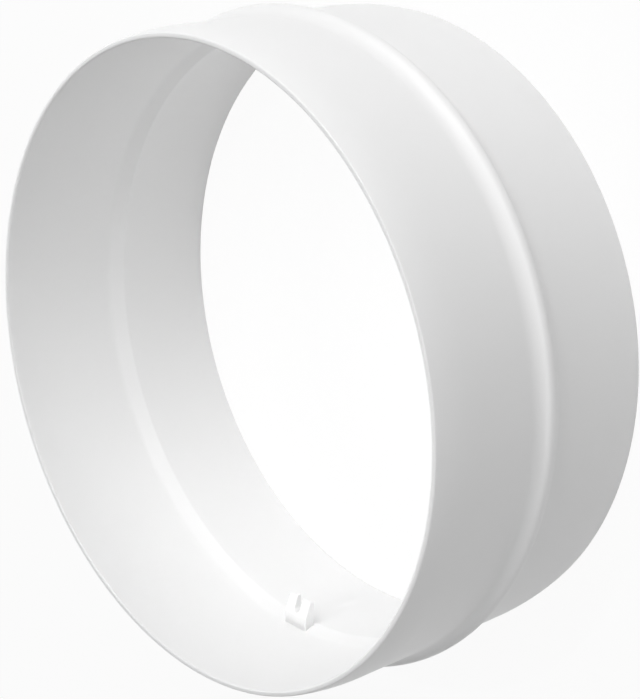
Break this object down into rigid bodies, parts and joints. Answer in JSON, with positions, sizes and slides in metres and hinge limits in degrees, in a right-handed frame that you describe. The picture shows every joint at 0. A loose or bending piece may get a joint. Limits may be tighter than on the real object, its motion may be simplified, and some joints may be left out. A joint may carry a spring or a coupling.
{
  "type": "duct connector",
  "caption": "Round duct connector: a spigot at each end, a stop bead round the outside, and a seat step and forked axle lugs for a flap inside.",
  "frame": {"origin": "centre of the lower end, on the duct axis", "axes": "+Z along the duct axis, up, towards the end that the seat step faces; +X through the middle of a lug"},
  "size_m": [0.1534, 0.1534, 0.0614],
  "materials": {
    "white_plastic": "satin moulded, white"
  },
  "bodies": {
    "root": {"connector_body": "white_plastic"}
  },
  "joints": []
}
